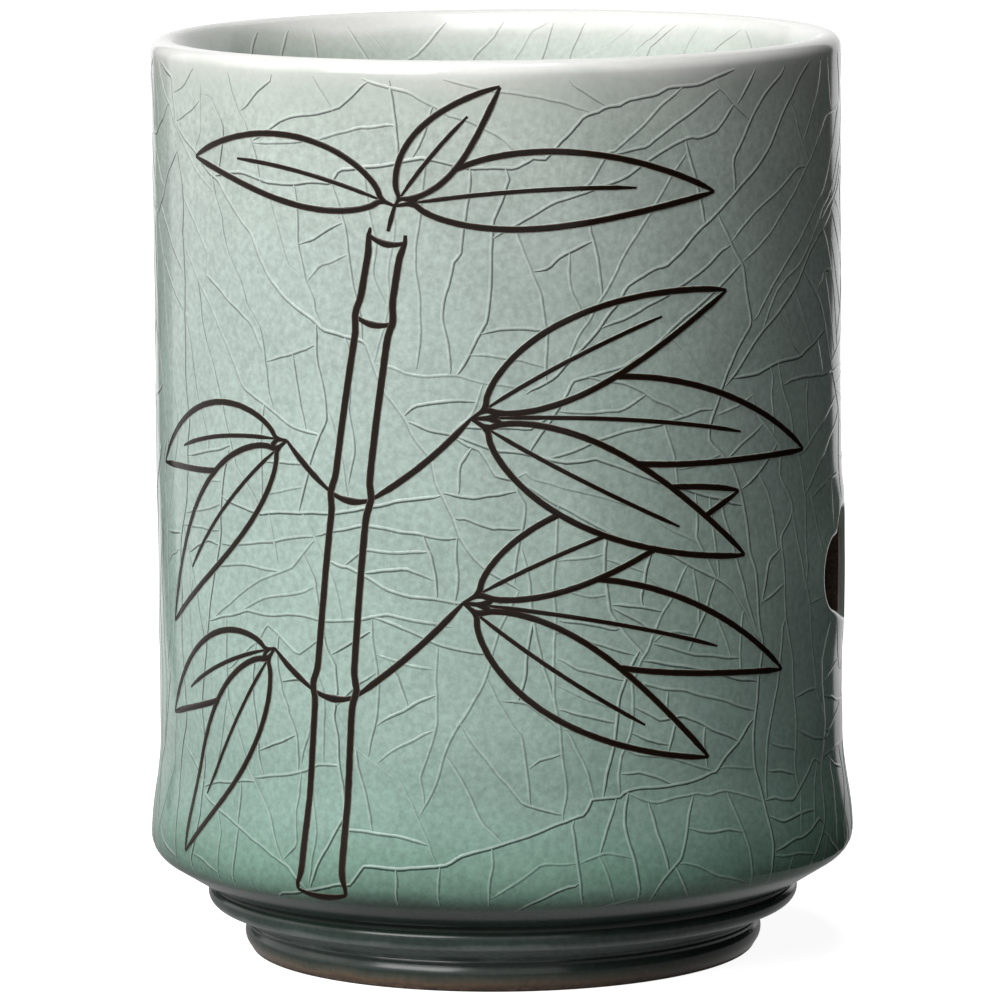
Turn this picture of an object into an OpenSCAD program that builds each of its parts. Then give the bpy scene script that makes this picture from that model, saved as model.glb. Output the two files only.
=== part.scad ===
// Double-walled brush holder pot of crackle-glazed stoneware.
//
// The liner, which holds the brushes, hangs by its lip inside a thrown sleeve, with
// an air gap between the two walls. The sleeve and the liner's base both stand on
// a turned foot, and heart-shaped windows pierce the sleeve. Thin bands of slip,
// fired hard, join the four seams. Sizes are in millimetres, +Z is up, and the
// origin is the middle of the foot's resting face.

/* [Overall] */
// Height from the resting face to the top of the lip
pot_h = 107.5; // [85:0.5:140]
// Outer diameter of the sleeve along its straight part
body_d = 80.2; // [66:0.2:100]

/* [Sleeve] */
// Thickness of the sleeve's wall
sleeve_wall = 2.8; // [2:0.1:3.6]
// How far the heel stands out past the straight part, on each side
heel_swell = 1.15; // [0:0.05:2]
// Height of the heel's widest place over the sleeve's lower edge
heel_rise = 5.7; // [4.5:0.1:8]
// Height over which the heel fades into the straight part
swell_h = 12; // [6:0.5:20]
// Radius of the turn from the heel into the chamfer under it
heel_round = 3; // [1:0.1:4]
// How far the chamfer draws in from the straight part to the foot, on each side
chamfer_w = 5.4; // [4:0.1:6.6]

/* [Liner] */
// Clear gap between the sleeve and the liner
air_gap = 2.7; // [1.5:0.1:3.5]
// Thickness of the liner's wall
liner_wall = 2.6; // [2:0.1:3.4]
// Thickness of the liner's base
liner_base = 3.4; // [2.5:0.1:5]
// Radius inside the liner's bottom corner
liner_corner = 7; // [3:0.5:12]
// Height of the lip over the sleeve's top edge
lip_h = 6; // [4:0.5:9]
// Radius of the lip's rounded top
lip_round = 1.6; // [1:0.1:1.8]
// How far round the lip's top turns before it becomes the flared bore
lip_turn = 140; // [125:1:150]
// Clearance between the liner's neck and the sleeve's top edge
neck_gap = 0.4; // [0.2:0.1:1]

/* [Foot] */
// Height of the foot, up to the seat of the sleeve and the liner
foot_h = 8; // [6.5:0.1:10]
// Radius of the collar's lower edge
collar_round = 1.5; // [0.5:0.1:2]
// Height of the upright edge of the collar
collar_land = 1; // [0.5:0.1:2]
// How far the collar stands out past the foot ring, on each side
collar_step = 4.3; // [3:0.1:5.4]
// Height of the foot ring under the collar
ring_h = 4; // [3:0.1:5]
// How far the foot ring draws in towards its resting face, on each side
ring_taper = 0.65; // [0:0.05:1.2]
// Bevel round the resting face
rest_bevel = 0.6; // [0.3:0.1:1]
// Width of the resting face
rest_w = 2.8; // [2:0.1:4]
// Depth of the recess inside the foot ring
recess_depth = 3.8; // [2:0.1:3.9]

/* [Windows] */
// Number of heart-shaped windows
window_count = 3; // [1:1:5]
// Side of the square that each heart grows from
window_side = 8.2; // [7:0.1:12]
// Bearing of the first window, from the front towards the right
window_bearing = 80; // [0:1:359]
// Turn round the pot from one window to the next
window_pitch = 34; // [30:1:60]
// Height of the first window's middle
window_z = 44.4; // [32:0.1:60]
// Rise from one window to the next
window_rise = 3; // [0:0.5:5]
// Tilt of each heart, anticlockwise as seen from outside
window_tilt = 30; // [-40:1:40]

/* [Slip] */
// Thickness of the slip in each seam
slip_t = 0.3; // [0.2:0.1:0.5]
// Width of the sleeve's seat on the foot
seat_w = 3.2; // [2.5:0.1:4]
// How far the slip under the sleeve stays back from the surface
slip_back = 0.3; // [0:0.1:0.6]

/* [Hidden] */
$fn = 96;

// Radii, from the outside in
body_r = body_d / 2;
heel_r = body_r + heel_swell;
shell_in_r = body_r - sleeve_wall;
liner_r = shell_in_r - air_gap;
bore_r = liner_r - liner_wall;
neck_r = shell_in_r - neck_gap;
collar_r = body_r - chamfer_w;
seat_in_r = collar_r - seat_w;
ring_r = collar_r - collar_step;
rest_r = ring_r - ring_taper - rest_bevel;
recess_r = rest_r - rest_w - rest_bevel;
liner_heel = liner_corner + liner_wall;
liner_base_r = liner_r - liner_heel;

// Heights, from the resting face up
seat_z = foot_h + slip_t;
heel_z = seat_z + heel_rise;
floor_z = seat_z + liner_base;
shell_top_z = pot_h - lip_h;
lip_z = shell_top_z + slip_t;

// The lip's round top and the flare below it, which starts at the same slope
lip_r = body_r - lip_round;
flare_r = lip_r + lip_round * cos(lip_turn);
flare_z = pot_h - lip_round + lip_round * sin(lip_turn);
flare_h = 2 * (flare_r - bore_r) / -tan(lip_turn);

// Points along an arc round the middle m, from the angle a to the angle b
function arc(m, r, a, b, steps = 8) =
    [for (i = [0:steps]) m + r * [cos(a + (b - a) * i / steps), sin(a + (b - a) * i / steps)]];

// Angle at which a line from the point p, below, touches the circle's outer side
function touch(m, r, p) = atan2(p[1] - m[1], p[0] - m[0]) + acos(r / norm(p - m));

// Radius of the heel at the height z, easing into the straight part
function heel_at(z) = body_r + heel_swell * (1 + cos(180 * (z - heel_z) / swell_h)) / 2;

// Radius of the bore at the depth d under the lip's round top
function flare_at(d) = bore_r + (flare_r - bore_r) * pow(1 - d / flare_h, 2);

heel_m = [heel_r - heel_round, heel_z];
heel_turn = touch(heel_m, heel_round, [collar_r, seat_z]);
collar_m = [collar_r - collar_round, foot_h - collar_land];
collar_turn = touch(collar_m, collar_round, [ring_r, ring_h]);

// The sleeve's inside runs parallel to the chamfer, from the seat up to the wall
chamfer_n = [cos(heel_turn), sin(heel_turn)];
chamfer_in = [collar_r, seat_z] - sleeve_wall * chamfer_n;
function chamfer_z(r) = chamfer_in[1] - (r - chamfer_in[0]) * chamfer_n[0] / chamfer_n[1];

// A heart with its tip down: a square on its corner and a half round on each upper side
module heart(side) {
    rotate(45) square(side, center = true);
    for (turn = [45, 135]) rotate(turn) translate([side / 2, 0]) circle(d = side);
}

// What one window takes out of the sleeve, starting in the air gap
module window_cut(i) {
    rotate([0, 0, window_bearing - 90 + i * window_pitch])
        translate([liner_r + air_gap / 2, 0, window_z + i * window_rise])
            rotate([90, 0, 90])
                linear_extrude(sleeve_wall + heel_swell + air_gap)
                    rotate(window_tilt) heart(window_side);
}

module band(r_out, r_in, z) {
    translate([0, 0, z]) rotate_extrude() translate([r_in, 0]) square([r_out - r_in, slip_t]);
}

// Thrown sleeve: the outer wall, its heel, and the chamfer down to the foot
module outer_shell() {
    color("#9db8ae") difference() {
        rotate_extrude() polygon(concat(
            [[seat_in_r, seat_z], [collar_r, seat_z]],
            arc(heel_m, heel_round, heel_turn, 0),
            [for (i = [1:8]) let (z = heel_z + swell_h * i / 8) [heel_at(z), z]],
            [[body_r, shell_top_z], [shell_in_r, shell_top_z]],
            [[shell_in_r, chamfer_z(shell_in_r)], [seat_in_r, chamfer_z(seat_in_r)]]));
        for (i = [0:window_count - 1]) window_cut(i);
    }
}

// Liner: the inner vessel, with the lip that rests on the sleeve's top edge
module inner_cup() {
    neck_drop = lip_z - flare_z + flare_h;
    color("#b8cbc1") rotate_extrude() polygon(concat(
        [[0, seat_z], [liner_base_r, seat_z]],
        arc([liner_base_r, seat_z + liner_heel], liner_heel, -80, 0),
        [[liner_r, lip_z - neck_drop], [neck_r, lip_z], [body_r, lip_z]],
        arc([lip_r, pot_h - lip_round], lip_round, 0, lip_turn, 12),
        [for (i = [1:8]) let (d = flare_h * i / 8) [flare_at(d), flare_z - d]],
        arc([bore_r - liner_corner, floor_z + liner_corner], liner_corner, 0, -90),
        [[0, floor_z]]));
}

// Turned foot: the collar, the foot ring and the recess inside it
module foot() {
    color("#2f3f38") rotate_extrude() polygon(concat(
        [[0, foot_h], [0, recess_depth], [recess_r, recess_depth]],
        [[recess_r, rest_bevel], [recess_r + rest_bevel, 0], [rest_r, 0]],
        [[rest_r + rest_bevel, rest_bevel], [ring_r, ring_h - collar_land], [ring_r, ring_h]],
        arc(collar_m, collar_round, collar_turn, 0),
        [[collar_r, foot_h]]));
}

// Slip between the sleeve's top edge and the lip
module rim_slip() {
    color("#c9c4b2") band(body_r, shell_in_r, shell_top_z);
}

// Slip between the sleeve's lower edge and the foot
module base_slip() {
    color("#8a7f6c") band(collar_r - slip_back, seat_in_r, foot_h);
}

// Slip between the liner's base and the foot
module cup_slip() {
    color("#8a7f6c") translate([0, 0, foot_h]) cylinder(h = slip_t, r = liner_base_r);
}

outer_shell();
inner_cup();
foot();
rim_slip();
base_slip();
cup_slip();
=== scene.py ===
# %% [markdown]
# # A double-walled brush pot in crackled celadon
#
# The real pot is three thrown and turned pieces of stoneware, luted together with
# slip and covered with a glossy blue-green glaze. The CAD model already gives the
# sizes and the structure. This script adds what the eye sees: the soft lip, the
# glazed edges of the windows, the crackle that stands up from the glaze, a line
# drawing in iron brown, and the colour of each finish.
#
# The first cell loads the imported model. Everything after it works in metres, in
# the same frame: the pot's axis is Z and its foot stands on Z = 0.

import math

import bpy
import numpy as np
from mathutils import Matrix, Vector


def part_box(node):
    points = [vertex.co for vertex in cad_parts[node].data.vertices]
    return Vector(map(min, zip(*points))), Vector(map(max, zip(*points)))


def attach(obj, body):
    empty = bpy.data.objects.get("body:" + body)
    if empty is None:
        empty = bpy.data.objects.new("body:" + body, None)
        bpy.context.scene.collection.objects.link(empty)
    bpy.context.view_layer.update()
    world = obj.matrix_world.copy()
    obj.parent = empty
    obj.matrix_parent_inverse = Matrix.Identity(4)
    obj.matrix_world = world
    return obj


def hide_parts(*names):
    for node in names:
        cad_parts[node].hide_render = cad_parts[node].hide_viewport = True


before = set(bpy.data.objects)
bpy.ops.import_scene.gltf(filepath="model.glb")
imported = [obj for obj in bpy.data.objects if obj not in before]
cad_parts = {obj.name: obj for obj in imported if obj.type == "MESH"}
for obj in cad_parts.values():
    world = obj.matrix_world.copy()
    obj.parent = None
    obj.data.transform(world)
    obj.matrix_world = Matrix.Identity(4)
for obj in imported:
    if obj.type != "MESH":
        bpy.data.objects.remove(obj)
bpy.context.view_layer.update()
print("nodes:", sorted(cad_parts))

# %% [markdown]
# ## Sizes from the frame
#
# Each size that the CAD model also holds is read from the boxes of its nodes, so
# the looks follow the construction. Lengths that only the finish needs, such as
# the width of a crackle line, are written in millimetres.

# %% Sizes
MM = 0.001

shell_low, shell_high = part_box("outer_shell")
cup_low, cup_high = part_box("inner_cup")
foot_high, pad_high, base_high = (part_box(node)[1] for node in ("foot", "cup_slip", "base_slip"))

body_r = cup_high.x
heel_r = shell_high.x
collar_r = foot_high.x
pot_h = cup_high.z
seat_z = shell_low.z
shell_top_z = shell_high.z
cup_base_z = cup_low.z
pad_r = pad_high.x
for name, size in (("body", body_r), ("heel", heel_r), ("collar", collar_r), ("height", pot_h)):
    print(f"{name} {size / MM:.2f} mm")

# %% [markdown]
# ## Walls
#
# The pot is round, so its pieces are outlines turned about Z. The outline of the
# sleeve is a function of height: straight walls, a heel that swells by about a
# millimetre, and a rounded turn into the chamfer below. A function is easier to
# reuse than a list of points, because the crackle and the drawing have to lie on
# the same surface.

# %% Wall sizes
sleeve_wall = 2.8 * MM
air_gap = 2.7 * MM
liner_wall = 2.6 * MM
lip_round = 1.6 * MM
lip_turn = math.radians(140)
heel_rise = 5.7 * MM
heel_round = 3 * MM
swell_h = 12 * MM

shell_in_r = body_r - sleeve_wall
liner_r = shell_in_r - air_gap
bore_r = liner_r - liner_wall
heel_z = seat_z + heel_rise
lip_r = body_r - lip_round
lip_z = pot_h - lip_round
flare_r = lip_r + lip_round * math.cos(lip_turn)
flare_z = lip_z + lip_round * math.sin(lip_turn)
flare_h = 2 * (flare_r - bore_r) / -math.tan(lip_turn)


# %% Points on an arc, and a tangent from a point to a circle
def arc(centre, radius, start, end, steps):
    angles = np.linspace(start, end, steps)
    return [(centre[0] + radius * math.cos(a), centre[1] + radius * math.sin(a)) for a in angles]


def touch(centre, radius, point):
    across, up = point[0] - centre[0], point[1] - centre[1]
    return math.atan2(up, across) + math.acos(radius / math.hypot(across, up))


heel_centre = (heel_r - heel_round, heel_z)
heel_turn = touch(heel_centre, heel_round, (collar_r, seat_z))


# %% [markdown]
# A thrown wall is never a perfect cylinder. Two slow waves, a few hundredths of a
# millimetre high, follow the potter's fingers round the wall. They are far too
# small to change the size, but they bend the long reflections a little, and
# that is what makes the pot look thrown.

# %% The wall as a function of height
def wall_radius(z):
    """Radius of the sleeve's outside at each height between the heel and the lip."""
    z = np.asarray(z, float)
    t = np.clip((z - heel_z) / swell_h, 0, 1)
    swell = (heel_r - body_r) * (1 + np.cos(math.pi * t)) / 2
    radius = body_r + swell
    below = np.clip(heel_z - z, 0, heel_round)
    radius = np.where(z < heel_z, heel_centre[0] + np.sqrt(heel_round**2 - below**2), radius)
    turn_z = heel_centre[1] + heel_round * math.sin(heel_turn)
    turn_r = heel_centre[0] + heel_round * math.cos(heel_turn)
    share = np.clip((z - seat_z) / (turn_z - seat_z), 0, 1)
    radius = np.where(z < turn_z, collar_r + (turn_r - collar_r) * share, radius)
    above = np.clip(z - lip_z, 0, lip_round)
    return np.where(z > lip_z, lip_r + np.sqrt(lip_round**2 - above**2), radius)


def throwing(angle, z):
    """How far the potter's hand moved the wall in or out, in metres."""
    fade = np.clip((z - heel_z) / (6 * MM), 0, 1) * np.clip((lip_z - z) / (6 * MM), 0, 1)
    rings = 0.05 * np.sin(z / (9 * MM) + 0.6 * np.sin(angle)) + 0.03 * np.sin(z / (3.7 * MM) + angle)
    return -MM * fade * (0.04 + np.abs(rings))


# %% [markdown]
# ## Windows
#
# Three hearts pierce the sleeve. Each is a square standing on its corner, with a
# half round on each upper side. A cutter would leave a ragged edge in a fine mesh,
# so the wall is woven around the hearts instead: the square patch of wall round a
# window is left out, and rings of faces run from the patch's edge to the heart,
# over its rounded edge, and through the wall.

# %% Places of the windows
window_side = 8.2 * MM
window_tilt = math.radians(30)
window_bearings = [80, 114, 148]
window_heights = [44.4 * MM, 47.4 * MM, 50.4 * MM]
window_swell = 0.42 * MM
window_fade = 3.6 * MM


def heart_reach(angle):
    """Distance from a heart's middle to its outline, in each direction."""
    angle = np.asarray(angle, float) - window_tilt
    half = window_side / 2
    turned = angle - math.pi / 4
    reach = half / np.maximum(np.abs(np.cos(turned)), np.abs(np.sin(turned)))
    for side in (math.pi / 4, 3 * math.pi / 4):
        along = half * np.cos(angle - side)
        off = half * np.sin(angle - side)
        inside = np.clip(half**2 - off**2, 0, None)
        reach = np.maximum(reach, np.where(along > -half / 2, along + np.sqrt(inside), 0))
    return reach


def near_window(bearing, z):
    """Distance outside the nearest window's outline, in metres; negative inside it."""
    nearest = np.full(np.shape(bearing), 1.0)
    for b, h in zip(window_bearings, window_heights):
        across = (np.asarray(bearing) - b + 180) % 360 - 180
        across = np.radians(across) * body_r
        up = np.asarray(z) - h
        apart = np.hypot(across, up) - heart_reach(np.arctan2(up, across))
        nearest = np.minimum(nearest, apart)
    return nearest


# %% A point on the pot's outer surface
def on_wall(bearing, z, lift=0.0):
    """The point at a bearing in degrees, from the front towards the right, and a height."""
    bearing, z = np.asarray(bearing, float), np.asarray(z, float)
    angle = np.radians(bearing)
    apart = np.clip(near_window(bearing, z), 0, None)
    raised = window_swell * np.exp(-((apart / window_fade) ** 2))
    radius = wall_radius(z) + throwing(angle, z) + raised + lift
    return np.stack([radius * np.sin(angle), -radius * np.cos(angle), z + 0 * radius], -1)


print("radius at mid height:", np.round(on_wall(0, pot_h / 2) / MM, 2))


# %% [markdown]
# ## Meshes
#
# A small class collects points and faces, then makes the object. Each face keeps
# the number of its material, and each point may keep a value, such as how close it
# is to a glazed edge, which the material reads as an attribute.

# %% Collecting a mesh
class Shape:
    def __init__(self, name):
        self.name, self.points, self.faces, self.kinds, self.values = name, [], [], [], []

    def add(self, points, value=0.0):
        """Adds points and returns their numbers."""
        first = len(self.points)
        self.points.extend(map(tuple, np.asarray(points, float).reshape(-1, 3)))
        count = len(self.points) - first
        self.values.extend(np.broadcast_to(value, (count,)).tolist())
        return list(range(first, first + count))

    def strip(self, low, high, kind=0, closed=True):
        """Faces between two rows of points, the second lying to the left of the first."""
        count = len(low)
        for i in range(count if closed else count - 1):
            j = (i + 1) % count
            self.faces.append((low[i], low[j], high[j], high[i]))
            self.kinds.append(kind)

    def make(self, materials, crease=40):
        mesh = bpy.data.meshes.new(self.name)
        mesh.from_pydata(self.points, [], self.faces)
        for material in materials:
            mesh.materials.append(material)
        mesh.polygons.foreach_set("material_index", self.kinds)
        mesh.polygons.foreach_set("use_smooth", [True] * len(self.faces))
        layer = mesh.attributes.new("edge", "FLOAT", "POINT")
        layer.data.foreach_set("value", self.values)
        mesh.update()
        mesh.set_sharp_from_angle(angle=math.radians(crease))
        made = bpy.data.objects.new(self.name, mesh)
        bpy.context.scene.collection.objects.link(made)
        print(f"{self.name}: {len(self.points)} points, {len(self.faces)} faces")
        return made


# %% [markdown]
# ## The sleeve
#
# The sleeve is the outer wall. The rows of points follow the wall from the foot up
# to the seam under the lip, and come back down inside, so that the mesh is closed
# and every face looks outward. The liner takes over at the seam, from the very
# same points, because the glaze runs over it without a break.

# %% Columns and rows
columns = np.arange(360)
patch_half = 16
edge_round = 0.8 * MM
patch_size = math.radians(patch_half) * body_r
inner_band = (30 * MM, 64 * MM)
above_band, below_band = 80 * MM, 22 * MM
base_slip_width = 2.9 * MM

low_rows = np.linspace(seat_z, heel_centre[1] + heel_round * math.sin(heel_turn), 6)[:-1]
heel_rows = [z for _, z in arc(heel_centre, heel_round, heel_turn, 0, 9)][:-1]
seam_z = shell_top_z + 0.15 * MM
wall_rows = np.linspace(heel_z, seam_z, 120)
outer_rows = np.concatenate([low_rows, heel_rows, wall_rows])


def patch_rows(heights, middle):
    inside = [i for i, z in enumerate(heights) if abs(z - middle) <= patch_size]
    return inside[0], inside[-1]


def round_patch(first, last, bearing):
    """Row and column of each point round a window's patch, anticlockwise from outside."""
    left, right = bearing - patch_half, bearing + patch_half
    step = 1 if last > first else -1
    loop = [(first, c) for c in range(left, right)]
    loop += [(r, right) for r in range(first, last, step)]
    loop += [(last, c) for c in range(right, left, -1)]
    loop += [(r, left) for r in range(last, first, -step)]
    return loop


# %% Weaving a wall with holes left for the windows
def weave(shape, heights, place, kind):
    """Adds rows of points and the faces between them, and returns the point numbers."""
    numbers = np.full((len(heights), 360), -1)
    spans = [(*patch_rows(heights, h), b) for b, h in zip(window_bearings, window_heights)]
    for i, z in enumerate(heights):
        kept = np.ones(360, bool)
        for first, last, b in spans:
            if min(first, last) < i < max(first, last):
                kept[b - patch_half + 1:b + patch_half] = False
        numbers[i, kept] = shape.add(place(columns[kept], z))
    for i in range(len(heights) - 1):
        for c in range(360):
            right = (c + 1) % 360
            corners = [numbers[i, c], numbers[i, right], numbers[i + 1, right], numbers[i + 1, c]]
            in_patch = any(
                min(f, l) <= i < max(f, l) and b - patch_half <= c < b + patch_half for f, l, b in spans
            )
            if not in_patch:
                shape.faces.append(tuple(int(n) for n in corners))
                shape.kinds.append(kind)
    return numbers, spans


# %% [markdown]
# Round each window, seven rings of faces settle from the square patch to the
# heart. Five more round the edge over: glaze draws back from an edge as it melts and
# leaves it thin and pale, so the points there carry a value that the
# glaze reads. The last rings run through the wall, where the clay is bare.

# %% The rings round one window
def smooth_loop(values, passes):
    for _ in range(passes):
        values = (np.roll(values, 1) + 2 * values + np.roll(values, -1)) / 4
    return values


def window_rings(shape, outer, inner, bearing, height, outer_loop, inner_loop):
    loop_bearing = np.array([b for b, _ in outer_loop], float)
    loop_z = np.array([z for _, z in outer_loop], float)
    across = np.radians(loop_bearing - bearing) * body_r
    up = loop_z - height
    turn, far = np.arctan2(up, across), np.hypot(across, up)
    reach = smooth_loop(heart_reach(turn), 4)

    def ring(distance, depth, value):
        b = bearing + np.degrees(distance * np.cos(turn) / body_r)
        return shape.add(on_wall(b, height + distance * np.sin(turn), -depth), value)

    rings = [outer]
    for share in (0.8, 0.62, 0.46, 0.32, 0.2, 0.1, 0.03):
        rings.append(ring(reach + edge_round + share * (far - reach - edge_round), 0, 0))
    for bend in np.radians([0, 22, 45, 67, 90]):
        outside = edge_round * (1 - math.sin(bend))
        pale = 0.25 + 0.75 * math.sin(bend)
        rings.append(ring(reach + outside, edge_round * (1 - math.cos(bend)), pale))
    wall = body_r + window_swell - shell_in_r
    kinds = [0] * (len(rings) - 1)
    for depth in (0.45, 0.7):
        rings.append(ring(reach, wall * depth, 0))
        kinds.append(1)
    inner_across = np.radians(np.array([b for b, _ in inner_loop], float) - bearing) * body_r
    inner_up = np.array([z for _, z in inner_loop], float) - height
    for share in (0, 0.5):
        x = reach * np.cos(turn) + share * (inner_across - reach * np.cos(turn))
        y = reach * np.sin(turn) + share * (inner_up - reach * np.sin(turn))
        angle = np.radians(bearing) + x / body_r
        rings.append(shape.add(np.stack(
            [shell_in_r * np.sin(angle), -shell_in_r * np.cos(angle), height + y], -1)))
        kinds.append(1)
    rings.append(inner)
    kinds.append(1)
    for near, next_ring, kind in zip(rings[:-1], rings[1:], kinds):
        shape.strip(near, next_ring, kind)


# %% Build the sleeve
def ring_at(radius, z, count=360):
    angle = np.radians(np.arange(count) * 360 / count)
    return np.stack([radius * np.sin(angle), -radius * np.cos(angle), np.full(count, z)], -1)


def sleeve_shape():
    shape = Shape("sleeve")
    outside, spans = weave(shape, outer_rows, on_wall, 0)
    outward = Vector((math.cos(heel_turn), math.sin(heel_turn)))
    chamfer_in = Vector((collar_r, seat_z)) - sleeve_wall * outward
    seat_in_r = base_high.x - base_slip_width
    slope = math.cos(heel_turn) / math.sin(heel_turn)
    corner_z = chamfer_in.y - (shell_in_r - chamfer_in.x) * slope
    seat_top_z = chamfer_in.y - (seat_in_r - chamfer_in.x) * slope
    band = [z for z in wall_rows if inner_band[0] < z < inner_band[1]][::-1]
    inner_rows = np.array([shell_top_z, above_band, *band, below_band, corner_z])
    inside, inner_spans = weave(
        shape, inner_rows, lambda b, z: ring_at(shell_in_r, z)[b], 1)
    shape.strip(list(outside[-1]), list(inside[0]), 1)
    seat = shape.add(ring_at(seat_in_r, seat_top_z))
    base = shape.add(ring_at(seat_in_r, seat_z))
    shape.strip(list(inside[-1]), seat, 1)
    shape.strip(seat, base, 1)
    shape.strip(base, list(outside[0]), 1)

    for (first, last, b), (top, bottom, _), h in zip(spans, inner_spans, window_heights):
        loop, inner_loop = round_patch(first, last, b), round_patch(bottom, top, b)
        window_rings(
            shape,
            [int(outside[r, c]) for r, c in loop], [int(inside[r, c]) for r, c in inner_loop], b, h,
            [(c, outer_rows[r]) for r, c in loop], [(c, inner_rows[r]) for r, c in inner_loop])
    return shape


# %% [markdown]
# ## Lathe-turned pieces
#
# The liner and the foot have no holes, so one outline turned about the axis makes
# each of them. An outline starts and ends on the axis. It is written as runs of
# points, each run with the number of its material. A point without a radius lies on
# the thrown wall.

# %% Turning an outline
def lathe(name, runs, count):
    shape = Shape(name)
    points = [(r, z, kind) for kind, run in runs for r, z in run]
    rings = []
    for r, z, kind in points:
        if r is None:
            rings.append(shape.add(on_wall(np.arange(count) * 360 / count, z)))
        elif r == 0:
            rings.append([shape.add([(0, 0, z)])[0]] * count)
        else:
            rings.append(shape.add(ring_at(r, z, count)))
    for low, high, (_, _, kind) in zip(rings[:-1], rings[1:], points[1:]):
        for i in range(count):
            j = (i + 1) % count
            corners = list(dict.fromkeys([low[i], low[j], high[j], high[i]]))
            shape.faces.append(tuple(corners))
            shape.kinds.append(kind)
    return shape


def line(start, end, steps):
    return [tuple(np.array(start) + (np.array(end) - start) * i / steps) for i in range(steps + 1)]


# %% The liner's outline
liner_base = 3.4 * MM
corner_in = 7 * MM
corner_out = corner_in + liner_wall
floor_z = cup_base_z + liner_base
neck_r = shell_in_r - 0.4 * MM
outside_low_z = 24 * MM
bore_high_z = 92 * MM


def bore_radius(z):
    """Radius of the inside, which opens towards the lip in a smooth flare."""
    deep = np.clip((flare_z - np.asarray(z, float)) / flare_h, 0, 1)
    return bore_r + (flare_r - bore_r) * (1 - deep) ** 2


# From the middle of the base, up the outside and over the lip, and down the bore.
liner_runs = [
    (1, [(0, cup_base_z)] + line((pad_r * 0.3, cup_base_z), (pad_r, cup_base_z), 3)),
    (1, arc((pad_r, cup_base_z + corner_out), corner_out, math.radians(-80), 0, 9)),
    (1, line((liner_r, outside_low_z), (liner_r, flare_z - flare_h), 8)),
    (1, [(neck_r, seam_z - 0.6 * MM), (neck_r, seam_z), (body_r - 0.4 * MM, seam_z)]),
    (0, [(None, z) for z in np.linspace(seam_z, lip_z, 8)]),
    (0, arc((lip_r, lip_z), lip_round, 0, lip_turn, 16)[1:]),
    (0, [(float(bore_radius(z)), z) for z in np.linspace(flare_z, flare_z - flare_h, 22)[1:]]),
    (0, line((bore_r, bore_high_z), (bore_r, floor_z + corner_in), 30)),
    (0, arc((bore_r - corner_in, floor_z + corner_in), corner_in, 0, -math.pi / 2, 12)),
    (0, line((bore_r * 0.6, floor_z), (bore_r * 0.1, floor_z), 6) + [(0, floor_z)]),
]

# %% The foot's outline
ring_r = 30.4 * MM
ring_h = 4 * MM
recess_z = 3.8 * MM
recess_r = 24.4 * MM
recess_round = 1.2 * MM
collar_round = 1.5 * MM
collar_centre = (collar_r - collar_round, 7 * MM)
collar_turn = touch(collar_centre, collar_round, (ring_r, ring_h + 0.15 * MM))
# From the middle of the recess, round the foot ring, up past the groove and over the
# collar to the seat.
foot_runs = [
    (1, [(0, recess_z)] + line((6 * MM, recess_z), (recess_r, recess_z), 5)),
    (1, arc((recess_r, recess_z - recess_round), recess_round, math.pi / 2, 0.25, 6)),
    (1, [(25.75 * MM, 0.6 * MM)]),
    (1, arc((26.45 * MM, 0.6 * MM), 0.6 * MM, -2.6, -math.pi / 2, 6)),
    (1, arc((29.05 * MM, 0.7 * MM), 0.7 * MM, -math.pi / 2, -0.35, 7)),
    (0, arc((28.45 * MM, 2.1 * MM), 1.95 * MM, -0.5, 0.55, 9)),
    (0, arc((30.55 * MM, 3.75 * MM), 0.42 * MM, -2.4, -3.9, 6)),
    (0, arc(collar_centre, collar_round, collar_turn, 0, 9)),
    (0, arc((collar_r - 0.75 * MM, 7.15 * MM), 0.75 * MM, 0.15, 1.15, 5)),
    (0, [(collar_r - 0.42 * MM, seat_z - 0.08 * MM), (collar_r - 0.3 * MM, seat_z)]),
    (1, line((collar_r * 0.9, seat_z), (collar_r * 0.1, seat_z), 3) + [(0, seat_z)]),
]


# %% [markdown]
# ## Crackle
#
# A crackle glaze shrinks more than the clay under it, so it cracks as it cools. The
# first cracks run far, and each later one runs until it meets an older one, which
# is why the lines join in T shapes. A Voronoi texture can't do that, so the cracks
# are grown here on the unrolled wall: a seed starts where no crack is near, walks
# both ways with a slow sway and a rare kink, and stops at the first crack that it
# meets. The first tries keep twice the distance and make the long, strong cracks.

# %% Growing cracks on an unrolled wall
CELL = 0.25 * MM
tries = 15000
first_tries = 70
kink_chance = 0.05


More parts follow.
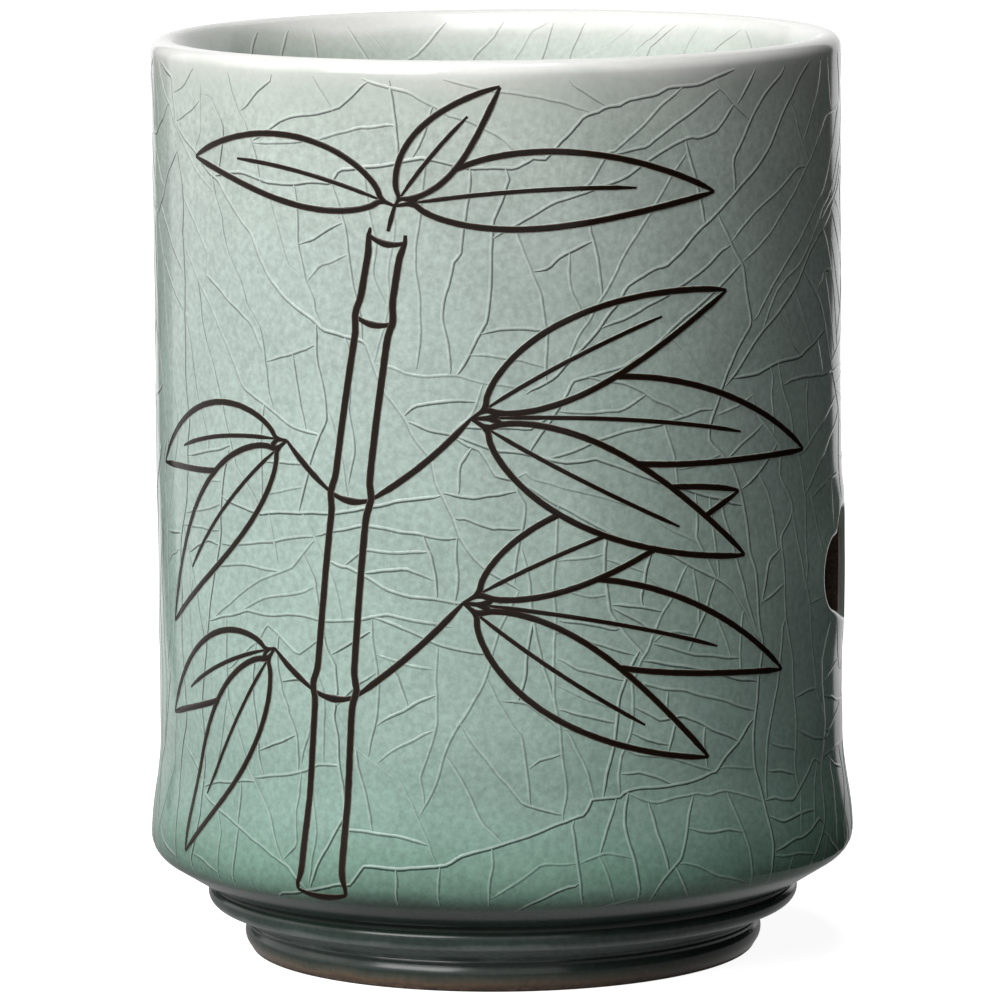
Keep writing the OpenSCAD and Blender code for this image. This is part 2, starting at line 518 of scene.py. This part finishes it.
def grow_cracks(turn_length, low, high, gap, lean, crossing, seed):
    """Pairs of (points, strength) for each crack, on a wall that closes on itself."""
    rng = np.random.default_rng(seed)
    wide, tall = int(turn_length / CELL), int((high - low) / CELL)
    owner = np.zeros((tall, wide), np.int32)
    paths = []
    for attempt in range(tries):
        u, z = rng.uniform(0, turn_length), rng.uniform(low, high)
        early = attempt < first_tries
        clear = gap(u, z) * (2.0 if early else 1.0)
        row, col, reach = int((z - low) / CELL), int(u / CELL), max(2, int(clear / CELL))
        rows = owner[max(0, row - reach):row + reach + 1]
        if np.take(rows, range(col - reach, col + reach + 1), axis=1, mode="wrap").any():
            continue
        across = rng.random() < crossing
        heading = lean(u, z) + (math.pi / 2 if across else 0) + rng.normal(0, 0.2)
        longest = rng.uniform(30, 70) * MM if early else rng.uniform(14, 60) * MM
        halves, marked = [], []
        for way in (0, math.pi):
            x, y, kink, sway, half = u, z, 0.0, 0.0, []
            while len(half) * CELL < longest:
                if rng.random() < kink_chance:
                    kink = rng.normal(0, 0.3)
                sway = 0.93 * sway + rng.normal(0, 0.045)
                angle = heading + way + kink + sway
                x, y = x + CELL * math.cos(angle), y + CELL * math.sin(angle)
                if not low < y < high - CELL:
                    break
                half.append((x, y))
                here = (int((y - low) / CELL), int(x / CELL) % wide)
                if owner[here]:
                    break
                marked.append(here)
            halves.append(half)
        for here in marked:
            owner[here] = len(paths) + 1
            owner[here[0], (here[1] + 1) % wide] = len(paths) + 1
        path = halves[1][::-1] + [(u, z)] + halves[0]
        if len(path) * CELL > 1.6 * MM:
            strength = 1.0 if early else rng.uniform(0.35, 1.0)
            paths.append((np.array(path), strength))
    return paths


# %% [markdown]
# ## Ribbons
#
# A crack shows as a fine raised line, and a drawn line is a thin coat of iron
# pigment. Both are ribbons laid on the wall: a low closed bead, whose underside is
# sunk a little into the glaze, so that it has no loose edge. The points keep a value
# that the materials turn into colour across the bead.

# %% Directions along a path, and its unbroken runs
def directions(path):
    """Unit vectors ahead and to the left, for each point of a path."""
    ahead = np.gradient(path, axis=0)
    ahead /= np.maximum(np.hypot(ahead[:, 0], ahead[:, 1]), 1e-12)[:, None]
    return ahead, np.stack([-ahead[:, 1], ahead[:, 0]], -1)


def kept_runs(keep, shortest):
    """Start and stop of each unbroken run of kept points, from a shortest length on."""
    edges = np.flatnonzero(np.diff(np.concatenate([[0], keep.astype(int), [0]])))
    return [(start, stop) for start, stop in zip(edges[::2], edges[1::2]) if stop - start >= shortest]


# %% Laying a ribbon along a path
def lay_ribbon(shape, path, half_width, section, place, value):
    """section lists (offset, lift) across the bead, as shares of half_width and in metres."""
    path = np.asarray(path)
    _, left = directions(path)
    wide = np.broadcast_to(half_width, (len(path),))
    rows = []
    for offset, lift in section:
        side = path + left * (offset * wide)[:, None]
        thin = np.clip(wide / wide.max(), 0.15, 1)
        lifted = np.where(lift > 0, lift * thin, lift)
        rows.append(shape.add(place(side[:, 0], side[:, 1], lifted), value(offset, left)))
    for row, next_row in zip(rows, rows[1:] + rows[:1]):
        shape.strip(next_row, row, 0, closed=False)
    shape.faces += [tuple(row[0] for row in rows), tuple(row[-1] for row in rows[::-1])]
    shape.kinds += [0, 0]


def resample(path, step):
    gone = np.hypot(*np.diff(path, axis=0).T)
    along = np.concatenate([[0], np.cumsum(gone)])
    count = max(3, int(along[-1] / step) + 1)
    steps = np.linspace(0, along[-1], count)
    return np.stack([np.interp(steps, along, path[:, k]) for k in (0, 1)], -1)


# %% [markdown]
# Along a crack the glaze stands up in a low ridge and then drops into a fine open line. Light from the upper
# left catches the ridge, and the line lies in shade. Both are painted into the bead's colour: one half of
# the bead is a pale ridge with a painted highlight, and the other half is low and dark with painted shade,
# which also stands for stain in the crack. The painted shade is deepest where the ridge faces the light
# squarely. Each path is turned round where needed, so that the ridge always lies towards the upper left, the
# side of the light.

# %% Crackle beads
# Across the bead: place as a share of half the width, height above the glaze, and tone, where 0 is painted
# shade that also stands for stain, 0.5 is the wall's own colour and 1 is a painted highlight.
bead_rows = [(1, -0.02 * MM, 0.5), (0.66, 0.026 * MM, 0.6), (0.2, 0.045 * MM, 0.8),
             (-0.1, 0.024 * MM, 0.2), (-0.5, 0.01 * MM, 0.0), (-1, -0.015 * MM, 0.3)]
bead_section = [(offset, lift) for offset, lift, _ in bead_rows]
bead_tone = {offset: tone for offset, _, tone in bead_rows}
# The direction of the light on the unrolled wall, up and to the left. The painted highlight lies on this
# side of each bead.
light_side = (-0.6, 0.8)
bead_step = 0.68 * MM


def crackle(name, paths, place, radius, allowed, width, contrast=1.0):
    shape = Shape(name)
    for path, strength in paths:
        path = resample(path, bead_step)
        chord = path[-1] - path[0]
        if chord[0] * light_side[1] - chord[1] * light_side[0] < 0:
            path = path[::-1]
        keep = allowed(np.degrees(path[:, 0] / radius), path[:, 1])

        # Colour across the bead: a painted highlight on the ridge towards the light, and painted shade on
        # the far side, deeper the more squarely the ridge faces the light.
        def painted_shading(offset, left):
            facing = np.clip(left[:, 0] * light_side[0] + left[:, 1] * light_side[1], 0, 1)
            tone = bead_tone[offset] - 0.5
            return 0.5 + tone * contrast * strength * np.where(tone < 0, 0.3 + 0.9 * facing, 1.0)

        for start, stop in kept_runs(keep, 3):
            piece = path[start:stop]
            ends = np.minimum(np.arange(len(piece)), np.arange(len(piece))[::-1])
            half = 0.5 * width * (0.75 + 0.3 * strength) * np.clip(0.5 + ends / 4, 0, 1)
            lay_ribbon(shape, piece, half, bead_section, lambda u, z, lift: place(
                np.degrees(u / radius), z, lift), painted_shading)
    return shape


# %% Cracks on the sleeve
def wall_gap(u, z):
    """The space left round a new crack. It varies slowly, and is smallest low on the right."""
    wave = math.sin(u / (17 * MM) + 1.3) * math.cos(z / (13 * MM))
    wave += 0.5 * math.sin(u / (7 * MM) - z / (9 * MM))
    small = math.exp(-(((u - 24 * MM) / (22 * MM)) ** 2) - ((z - 36 * MM) / (26 * MM)) ** 2)
    return MM * (2.15 + 0.45 * wave - 0.65 * small)


def wall_lean(u, z):
    """The cracks' main direction: slanting in the upper part, and nearly level below."""
    bearing = u / body_r
    high_up = min(1.0, max(0.0, (z - 55 * MM) / (25 * MM)))
    slant = 0.72 * math.sin(bearing * 1.5 + 0.25)
    return high_up * slant + (1 - high_up) * 0.22 * math.sin(bearing * 3 + z / (11 * MM))


crackle_low, crackle_high = 11.4 * MM, 105.8 * MM
wall_cracks = grow_cracks(
    2 * math.pi * body_r, crackle_low, crackle_high, wall_gap, wall_lean, crossing=0.5, seed=7)
print("cracks on the wall:", len(wall_cracks))

# %% [markdown]
# The inside has a network of its own. It lies on the liner's bore, which widens
# towards the lip, so the place of a point there is a small function as well.

# %% Cracks on the inside
def on_bore(bearing, z, lift=0.0):
    """As on_wall, for the inside. Seen from within, the bearing runs the other way."""
    angle = -np.radians(np.asarray(bearing, float))
    radius = bore_radius(z) - lift
    return np.stack([radius * np.sin(angle), -radius * np.cos(angle), z + 0 * radius], -1)


bore_cracks = grow_cracks(
    2 * math.pi * bore_r, floor_z + corner_in + MM, flare_z - 0.5 * MM,
    lambda u, z: 2.6 * MM, lambda u, z: 1.0 + 0.2 * math.sin(u / (9 * MM)), crossing=0.3, seed=11)
print("cracks on the inside:", len(bore_cracks))


# %% [markdown]
# ## The drawing
#
# The pot's front carries a line drawing in iron brown. Here it is a spray of
# bamboo, the stock motif of brush pots: a jointed stem, side twigs and long pointed
# leaves, each leaf a closed outline with a single vein. A leaf is a bent midline
# with two edges that swell and close again, so one function draws them all.

# %% Leaves and stems, in millimetres on the unrolled front
def midline(start, heading, length, bend, steps):
    """A line that leaves start at a heading in degrees and turns by bend degrees in all."""
    angles = np.radians(heading + bend * (np.arange(steps) + 0.5) / steps)
    walk = np.cumsum(np.stack([np.cos(angles), np.sin(angles)], -1) * length / steps, axis=0)
    return np.vstack([[0, 0], walk]) + start


def leaf(start, heading, length, width, bend):
    """A leaf's two edges and its vein, with the outline that hides what is behind it."""
    middle = midline(start, heading, length, bend, 48)
    share = np.linspace(0, 1, len(middle))
    _, left = directions(middle)
    body = np.clip((share - 0.06) / 0.94, 0, 1)
    swell = width / 2 * np.sin(math.pi * body**0.72) ** 0.9
    edges = [middle + left * swell[:, None], middle - left * swell[:, None]]
    return edges, middle[3:int(len(middle) * 0.74)], (middle, swell)


def stem(start, heading, length, bend, half, joints):
    """A jointed stem: two long edges, and a sagging line across at each joint."""
    middle = midline(start, heading, length, bend, 90)
    ahead, left = directions(middle)
    share = np.linspace(0, 1, len(middle))
    flare = sum(np.exp(-(((share - joint) * length / 1.2) ** 2)) for joint in joints)
    swell = half * (1 - 0.3 * share) * (1 + 0.2 * flare)
    lines = [middle + left * swell[:, None], middle - left * swell[:, None]]
    places = []
    for joint in joints:
        i = int(joint * (len(middle) - 1))
        sag = np.linspace(-1, 1, 11)
        lines.append(middle[i] + np.outer(sag * swell[i], left[i]) - np.outer(1 - sag**2, ahead[i]) * 0.6)
        places.append((middle[i] + left[i] * swell[i], middle[i] - left[i] * swell[i]))
    return lines, places, middle[-1], (middle, swell)


def outside(path, blockers):
    """Which points of a path no leaf in front of it covers."""
    clear = np.ones(len(path), bool)
    for middle, swell in blockers:
        apart = np.hypot(path[:, None, 0] - middle[None, :, 0], path[:, None, 1] - middle[None, :, 1])
        nearest = apart.argmin(axis=1)
        clear &= apart.min(axis=1) > swell[nearest] - 0.12
    return clear


# %% The spray of bamboo
# Each twig has its start, heading, length and bend, then its leaves with their
# headings, lengths, widths and bends, in degrees and millimetres.
stem_width, twig_width, edge_width, vein_width = 1.05, 0.95, 0.88, 0.62
stem_lines, joints, tip, stem_body = stem((-21, 13), 88, 76, -9, 2.6, (0.005, 0.31, 0.6, 0.87, 0.99))
strokes = [(line_points, stem_width, stem_body) for line_points in stem_lines]
twigs = [
    (joints[1][1], 34, 17, 14, [(-6, 43, 9.6, -16), (-40, 35, 9.0, 14), (30, 36, 8.6, -24)]),
    (joints[2][1], 30, 15, 18, [(2, 46, 9.8, -20), (-32, 38, 9.2, 10), (34, 34, 8.4, -22)]),
    (joints[2][0], 142, 8, -10, [(176, 27, 7.8, 30), (216, 33, 8.4, 18)]),
    (joints[1][0], 148, 7, -12, [(192, 24, 7.4, 26), (232, 30, 8.0, 12)]),
    (tip, 74, 3, 0, [(158, 30, 7.6, 28), (10, 38, 8.6, -18), (56, 18, 6.0, -16)]),
]
fronts = []
for start, heading, length, bend, leaves in twigs:
    twig = midline(start, heading, length, bend, 20)
    strokes.append((twig, twig_width, None))
    for leaf_heading, leaf_length, leaf_width, leaf_bend in leaves:
        edges, vein, body = leaf(twig[-1], leaf_heading, leaf_length, leaf_width, leaf_bend)
        strokes += [(edge, edge_width, body) for edge in edges] + [(vein, vein_width, body)]
        fronts.append(body)
print("strokes in the drawing:", len(strokes))

# %% [markdown]
# A later leaf hides what lies behind it, as in a brush drawing: each stroke is cut
# where a leaf that comes after it covers it. The line's edge is feathered by its
# material, so the ribbon is a little wider than the dark line.

# %% Strokes as ribbons
line_section = [(1, -0.02 * MM), (0.8, 0.06 * MM), (0.45, 0.075 * MM), (0, 0.08 * MM),
                (-0.45, 0.075 * MM), (-0.8, 0.06 * MM), (-1, -0.02 * MM)]
taper_points = 12
stroke_rise = 0.0008 * MM


def drawing_shape():
    shape = Shape("bamboo_lines")
    for number, (path, width, own) in enumerate(strokes):
        path = resample(np.asarray(path), 0.4)
        order = [id(body) for body in fronts]
        after = fronts[order.index(id(own)) + 1:] if id(own) in order else fronts
        for start, stop in kept_runs(outside(path, after), 4):
            piece = path[start:stop] * MM
            place = np.arange(start, stop)
            taper = np.clip(0.5 + np.minimum(place, len(path) - 1 - place) / taper_points, 0, 1)
            rise = stroke_rise * number
            lay_ribbon(shape, piece, 0.5 * width * MM * taper, line_section, lambda u, z, lift: on_wall(
                np.degrees(u / body_r), z, lift + rise), lambda offset, left: abs(offset))
    return shape


# %% [markdown]
# ## Materials
#
# Colours are written as sRGB hex values and turned to linear by one function. One
# more function adds a node with its settings and its inputs, where an input is a
# plain value or the socket of another node.

# %% Helpers for colours and nodes
def colour(code):
    parts = [int(code[i:i + 2], 16) / 255 for i in (1, 3, 5)]
    return tuple(p / 12.92 if p <= 0.04045 else ((p + 0.055) / 1.055) ** 2.4 for p in parts) + (1.0,)


def add_node(tree, kind, inputs=None, **settings):
    made = tree.nodes.new(kind)
    for name, value in settings.items():
        setattr(made, name, value)
    for key, value in (inputs or {}).items():
        if isinstance(value, bpy.types.NodeSocket):
            tree.links.new(value, made.inputs[key])
        else:
            made.inputs[key].default_value = value
    return made


def new_material(name):
    made = bpy.data.materials.new(name)
    made.use_nodes = True
    made.node_tree.nodes.clear()
    return made, made.node_tree


def fill_ramp(ramp, stops):
    elements = ramp.color_ramp.elements
    while len(elements) < len(stops):
        elements.new(1.0)
    for element, (place, code) in zip(elements, sorted(stops)):
        element.position, element.color = place, colour(code)


def noise(tree, place, size, detail, **more):
    """Soft noise in blotches of about a size in metres. It averages 0.5."""
    return add_node(tree, "ShaderNodeTexNoise", {
        "Vector": place, "Scale": 1 / size, "Detail": detail, **more}).outputs["Fac"]


def remap(tree, value, old, new):
    """A value taken from one range to another, and held at its ends."""
    return add_node(tree, "ShaderNodeMapRange", {
        "Value": value, "From Min": old[0], "From Max": old[1], "To Min": new[0], "To Max": new[1]
    }).outputs[0]


def maths(tree, operation, *inputs):
    return add_node(tree, "ShaderNodeMath", dict(enumerate(inputs)), operation=operation).outputs[0]


def scaled(tree, base, by):
    return add_node(tree, "ShaderNodeVectorMath", {0: base, "Scale": by}, operation="SCALE").outputs[0]


def blend(tree, share, first, second):
    return add_node(tree, "ShaderNodeMix", {0: share, 6: first, 7: second}, data_type="RGBA").outputs[2]


def finish_material(tree, surface):
    add_node(tree, "ShaderNodeOutputMaterial", {"Surface": surface.outputs[0]})


# %% [markdown]
# Celadon is an iron-bearing glaze fired without air. Where it lies thin, at the lip and along the edges of
# the windows, it looks almost white. It runs down as it melts, so it is thicker and greener towards the
# heel. Lower down, on the chamfer where the heel turns in, the colour goes nearly black: pooled glaze,
# together with painted shade under the heel. That is a colour ramp over height. Seen close, it is mottled by
# bubbles and undissolved grains under a millimetre across, except on the thin lip.

# %% Colour of the celadon glaze
# The lowest stops, up to about 11 mm, darken the chamfer under the heel: pooled glaze, with painted shade
# where the heel turns in.
GLAZE_STOPS = [
    (0.0, "#1d2823"), (8.0, "#1f2b26"), (9.6, "#34433c"), (11.4, "#4c5f56"), (13.0, "#668475"),
    (16.5, "#7b9d8d"), (22.0, "#90ada1"), (31.0, "#a1bab0"), (48.0, "#abc1b7"), (68.0, "#b3c5bd"),
    (88.0, "#b9c7bf"), (98.0, "#bfcbc2"), (103.6, "#c6cfc6"), (105.4, "#d4d9d1"), (106.6, "#efefeb"),
]
run_length = 5 * MM


def glaze_colour(tree):
    """Colour, grain and place: the base that each glaze material starts from."""
    place = add_node(tree, "ShaderNodeTexCoord").outputs["Object"]
    height = add_node(tree, "ShaderNodeSeparateXYZ", {0: place}).outputs["Z"]
    run = maths(tree, "SUBTRACT", noise(tree, place, 22 * MM, 3.0), 0.5)
    run_down = maths(tree, "MULTIPLY_ADD", run, run_length, height)
    ramp = add_node(tree, "ShaderNodeValToRGB", {"Fac": maths(tree, "DIVIDE", run_down, pot_h)})
    fill_ramp(ramp, [(z * MM / pot_h, code) for z, code in GLAZE_STOPS])

    patch = remap(tree, noise(tree, place, 9 * MM, 4.0), (0.3, 0.7), (0.93, 1.06))
    grain = noise(tree, place, 0.75 * MM, 3.0, Roughness=0.62)
    speck = remap(tree, grain, (0.32, 0.68), (0.84, 1.13))
    near_lip = remap(tree, height, (99 * MM, 106 * MM), (0.0, 0.85))
    even = add_node(tree, "ShaderNodeMix", {0: near_lip, 2: maths(tree, "MULTIPLY", patch, speck), 3: 1.0})
    return scaled(tree, ramp.outputs["Color"], even.outputs[0]), grain, place


def glaze_surface(tree, base, bump_from, roughness=0.12, specular=0.28):
    """A fired glaze: a smooth dielectric of IOR about 1.5, with a faint orange-peel surface."""
    bump = add_node(tree, "ShaderNodeBump", {"Height": bump_from, "Strength": 0.16, "Distance": 0.02 * MM})
    return add_node(tree, "ShaderNodeBsdfPrincipled", {
        "Base Color": base, "Normal": bump.outputs[0], "Roughness": roughness, "IOR": 1.52,
        "Specular IOR Level": specular})


# %% Celadon glaze, fired over stoneware
def celadon_glaze():
    made, tree = new_material("celadon_glaze")
    base, grain, _ = glaze_colour(tree)
    edge = add_node(tree, "ShaderNodeAttribute", attribute_name="edge")
    thin = blend(tree, edge.outputs["Fac"], base, colour("#c9cdc4"))
    finish_material(tree, glaze_surface(tree, thin, grain))
    return made


# %% [markdown]
# The crackle beads are the same glaze. Their value runs from 0, painted shade on the lower right side that
# also stands for stain, through 0.5, which matches the wall, to 1, a painted highlight on the upper left
# side towards the light.

# %% Crackle line in celadon glaze
def crackle_glaze():
    made, tree = new_material("crackle_line_glaze")
    base, grain, _ = glaze_colour(tree)
    side = add_node(tree, "ShaderNodeAttribute", attribute_name="edge")
    # Values below 0.5 darken the glaze: painted shade.
    toned = scaled(tree, base, remap(tree, side.outputs["Fac"], (0.08, 0.5), (0.22, 1.0)))
    # Values above 0.5 pale it towards near white: a painted highlight.
    painted_highlight = remap(tree, side.outputs["Fac"], (0.5, 0.95), (0.0, 0.5))
    finish_material(tree, glaze_surface(tree, blend(tree, painted_highlight, toned, colour("#e6ece6")), grain))
    return made


# %% Iron-brown line under a thin glaze
def iron_line():
    made, tree = new_material("iron_brown_line")
    base, grain, place = glaze_colour(tree)
    across = add_node(tree, "ShaderNodeAttribute", attribute_name="edge")
    ragged = maths(tree, "MULTIPLY_ADD", noise(tree, place, 1.1 * MM, 2.0), 0.22, across.outputs["Fac"])
    ramp = add_node(tree, "ShaderNodeValToRGB", {"Fac": ragged})
    fill_ramp(ramp, [(0.0, "#1a1410"), (0.6, "#211711"), (0.82, "#3a261b"), (0.95, "#5c4436")])
    halo = remap(tree, ragged, (0.86, 1.04), (0.0, 1.0))
    mixed = blend(tree, halo, ramp.outputs["Color"], base)
    finish_material(tree, glaze_surface(tree, mixed, grain, roughness=0.16, specular=0.14))
    return made


# %% [markdown]
# The clay is a brown stoneware with sand in it. It shows bare where glaze would have
# stuck to the kiln shelf, on the resting face, and inside the air gap.

# %% Bare stoneware
def bare_stoneware():
    made, tree = new_material("bare_stoneware")
    place = add_node(tree, "ShaderNodeTexCoord").outputs["Object"]
    sand = noise(tree, place, 0.6 * MM, 5.0)
    ramp = add_node(tree, "ShaderNodeValToRGB", {"Fac": sand})
    fill_ramp(ramp, [(0.3, "#3b2e26"), (0.5, "#5a483b"), (0.7, "#75604f")])
    bump = add_node(tree, "ShaderNodeBump", {"Height": sand, "Strength": 0.5, "Distance": 0.08 * MM})
    surface = add_node(tree, "ShaderNodeBsdfPrincipled", {
        "Base Color": ramp.outputs["Color"], "Normal": bump.outputs[0], "Roughness": 0.78})
    finish_material(tree, surface)
    return made


# %% [markdown]
# On the foot the glaze has pooled to a dark green, and painted shade darkens it further in the recesses. A
# grey band on the collar's lower rounded edge is a painted reflection of the pale floor in front. The potter
# wiped the glaze from the lowest millimetre, where the clay burns brown; the wiped line wavers.

# %% Pooled glaze on the foot, with painted shade and a painted reflection
def foot_glaze():
    made, tree = new_material("foot_glaze_painted_light")
    place = add_node(tree, "ShaderNodeTexCoord").outputs["Object"]
    height = add_node(tree, "ShaderNodeSeparateXYZ", {0: place}).outputs["Z"]
    wavered = maths(tree, "MULTIPLY_ADD", noise(tree, place, 7 * MM, 3.0), -1.1 * MM, height)
    ramp = add_node(tree, "ShaderNodeValToRGB", {"Fac": maths(tree, "DIVIDE", wavered, seat_z)})
    # From the base up: brown wiped clay, dark pooled glaze deepened by painted shade round the foot ring, a
    # grey band on the collar's lower rounded edge that is a painted reflection of the floor in front, then
    # dark again up to the seat, pooled glaze with painted shade in the groove under the chamfer.
    fill_ramp(ramp, [(0.0, "#5d4f42"), (0.055, "#75614e"), (0.1, "#5d5a4e"), (0.19, "#333c37"),
                     (0.38, "#2b3631"), (0.46, "#7b8783"), (0.62, "#8b9692"), (0.72, "#3d4a45"),
                     (0.84, "#2b3731"), (0.95, "#1c2621")])
    grain = noise(tree, place, 0.8 * MM, 3.0)
    toned = scaled(tree, ramp.outputs["Color"], remap(tree, grain, (0.3, 0.7), (0.85, 1.15)))
    finish_material(tree, glaze_surface(tree, toned, grain, roughness=0.2, specular=0.36))
    return made


celadon, crackle_line, iron = celadon_glaze(), crackle_glaze(), iron_line()
clay, foot_finish = bare_stoneware(), foot_glaze()

# %% [markdown]
# ## Put the pieces together
#
# Each new piece stands for the CAD nodes that it covers. Nothing on this pot moves,
# so every piece rides on the one body, which is called root.

# %% Build, and stand for the CAD nodes
bead_crease = 65
clear_of_window = 1.4 * MM
wall_bead, bore_bead = 0.62 * MM, 0.5 * MM
sleeve = sleeve_shape().make([celadon, clay])
liner = lathe("liner", liner_runs, 360).make([celadon, clay])
foot = lathe("turned_foot", foot_runs, 240).make([foot_finish, clay])
wall_crackle = crackle(
    "wall_crackle", wall_cracks, on_wall, body_r, lambda b, z: near_window(b, z) > clear_of_window, wall_bead
).make([crackle_line], bead_crease)
liner_crackle = crackle(
    "liner_crackle", bore_cracks, on_bore, bore_r, lambda b, z: z > 0, bore_bead, contrast=0.5
).make([crackle_line], bead_crease)
bamboo_lines = drawing_shape().make([iron], bead_crease)

for piece, material_slot, nodes in (
    (sleeve, "celadon_glaze", ("outer_shell", "rim_slip")),
    (liner, "liner_glaze", ("inner_cup", "cup_slip")),
    (foot, "foot_glaze", ("foot", "base_slip")),
    (wall_crackle, "celadon_glaze", ()),
    (liner_crackle, "liner_glaze", ()),
    (bamboo_lines, "celadon_glaze", ()),
):
    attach(piece, "root")
    if nodes:
        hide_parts(*nodes)

# %% [markdown]
# ## Studio
#
# A pale floor, one large soft light high in front on the left, a faint one on the far left, and a small one
# overhead for the lip. A glossy wall shows what stands around it: the pale floor in front, dimmer close to
# the pot, where painted shade in the floor's glow stands for the floor shaded under the pot, and dark cards
# beside the pot that only reflections see. The upright cards end where the back begins, so each side of the
# pot keeps a narrow pale edge.

# %% Floor
# How brightly the floor glows at the pot and far from it, to the camera and in
# reflections, with the distances in metres where the change ends.
seen_glow, seen_reach = (0.93, 1.0), (0.05, 0.45)
# In reflections the floor's glow falls to 0.3 near the pot: painted shade for the floor shaded under and
# round the pot's foot.
mirrored_glow, mirrored_reach = (0.3, 1.0), (0.05, 0.3)


def floor_material():
    made, tree = new_material("pale_floor")
    path = add_node(tree, "ShaderNodeLightPath")
    mirrored = maths(tree, "MAXIMUM", path.outputs["Is Glossy Ray"], path.outputs["Is Transmission Ray"])
    place = add_node(tree, "ShaderNodeTexCoord").outputs["Object"]
    away = add_node(tree, "ShaderNodeVectorMath", {0: place}, operation="LENGTH").outputs["Value"]
    plain = add_node(tree, "ShaderNodeBsdfDiffuse", {"Color": colour("#858585")})
    white = add_node(tree, "ShaderNodeBsdfDiffuse", {"Color": colour("#dcdcdc")})
    glow, mirrored_light = (
        add_node(tree, "ShaderNodeEmission", {
            "Color": colour("#ffffff"), "Strength": remap(tree, away, reach, strengths)})
        for reach, strengths in ((seen_reach, seen_glow), (mirrored_reach, mirrored_glow)))
    lit = add_node(tree, "ShaderNodeAddShader", {0: white.outputs[0], 1: glow.outputs[0]})
    direct = add_node(tree, "ShaderNodeMixShader", {
        0: path.outputs["Is Camera Ray"], 1: plain.outputs[0], 2: lit.outputs[0]})
    mixed = add_node(tree, "ShaderNodeMixShader", {
        0: mirrored, 1: direct.outputs[0], 2: mirrored_light.outputs[0]})
    finish_material(tree, mixed)
    return made


def flat_sheet(name, corners, material):
    mesh = bpy.data.meshes.new(name)
    mesh.from_pydata(corners, [], [(0, 1, 2, 3)])
    mesh.materials.append(material)
    made = bpy.data.objects.new(name, mesh)
    bpy.context.scene.collection.objects.link(made)
    return made


floor_half = 3.0
flat_sheet("floor", [
    (-floor_half, -floor_half, 0), (floor_half, -floor_half, 0),
    (floor_half, floor_half, 0), (-floor_half, floor_half, 0)], floor_material())


# %% Dark cards that only reflections see
def card_material(name, shade):
    made, tree = new_material(name)
    finish_material(tree, add_node(tree, "ShaderNodeEmission", {"Color": colour(shade), "Strength": 1.0}))
    return made


def hidden_card(name, corners, shade):
    card = flat_sheet(name, corners, card_material(name, shade))
    card.visible_camera = card.visible_diffuse = card.visible_shadow = card.visible_transmission = False


card_side, card_top, card_lift = 0.15, 0.5, 0.001
card_front, card_back = -0.30, 0.2
for name, x, near, far, shade in (
    ("card_right", card_side, card_front, card_back, "#1a1d1b"),
    ("card_left", -card_side, 0.125, 0.344, "#4a4f4c"),
):
    hidden_card(name, [(x, near, 0), (x, far, 0), (x, far, card_top), (x, near, card_top)], shade)
hidden_card("card_floor", [
    (0.052, card_front, card_lift), (card_side, card_front, card_lift),
    (card_side, card_back, card_lift), (0.052, 0.03, card_lift)], "#1a1d1b")


# %% Lamps
def softbox(name, bearing, height, distance, side, watts):
    """A square lamp at a bearing from the front, aimed at the middle of the pot."""
    lamp = bpy.data.lights.new(name, "AREA")
    lamp.shape, lamp.size, lamp.energy = "SQUARE", side, watts
    made = bpy.data.objects.new(name, lamp)
    angle = math.radians(bearing)
    made.location = (distance * math.sin(angle), -distance * math.cos(angle), height)
    aim = Vector((0, 0, pot_h * 0.55)) - made.location
    made.rotation_mode = "QUATERNION"
    made.rotation_quaternion = aim.to_track_quat("-Z", "Y")
    bpy.context.scene.collection.objects.link(made)
    return made


softbox("key_left", bearing=-40, height=0.56, distance=0.95, side=0.7, watts=12.2)
softbox("side_left", bearing=-88, height=0.35, distance=0.9, side=0.4, watts=0.35)
softbox("overhead", bearing=0, height=0.95, distance=0.12, side=0.35, watts=2.6)

# %% Surroundings: white to the camera, dim to everything else
world = bpy.data.worlds.new("studio")
bpy.context.scene.world = world
world.use_nodes = True
world.node_tree.nodes.clear()
path = add_node(world.node_tree, "ShaderNodeLightPath")
seen = maths(world.node_tree, "MAXIMUM", path.outputs["Is Camera Ray"], path.outputs["Is Glossy Ray"])
seen = maths(world.node_tree, "MAXIMUM", seen, path.outputs["Is Transmission Ray"])
dim = add_node(world.node_tree, "ShaderNodeBackground", {"Color": colour("#ffffff"), "Strength": 0.035})
white = add_node(world.node_tree, "ShaderNodeBackground", {"Color": colour("#ffffff"), "Strength": 1.0})
sky = add_node(world.node_tree, "ShaderNodeMixShader", {
    0: seen, 1: dim.outputs[0], 2: white.outputs[0]})
add_node(world.node_tree, "ShaderNodeOutputWorld", {"Surface": sky.outputs[0]})
bpy.context.scene.view_settings.view_transform = "Standard"

# %% [markdown]
# ## Camera
#
# A long lens, well back and a little above the pot, flattens the view as a
# catalogue picture does.

# %% Camera
look_down = math.radians(7.89)
roll = math.radians(0.5)
camera_data = bpy.data.cameras.new("camera")
camera_data.sensor_width = 36
camera_data.lens = 275
camera_data.shift_x = 0.0097
camera = bpy.data.objects.new("camera", camera_data)
camera.location = (0, -0.887, 0.1757)
camera.rotation_euler = (math.pi / 2 - look_down, roll, 0)
bpy.context.scene.collection.objects.link(camera)
bpy.context.scene.camera = camera
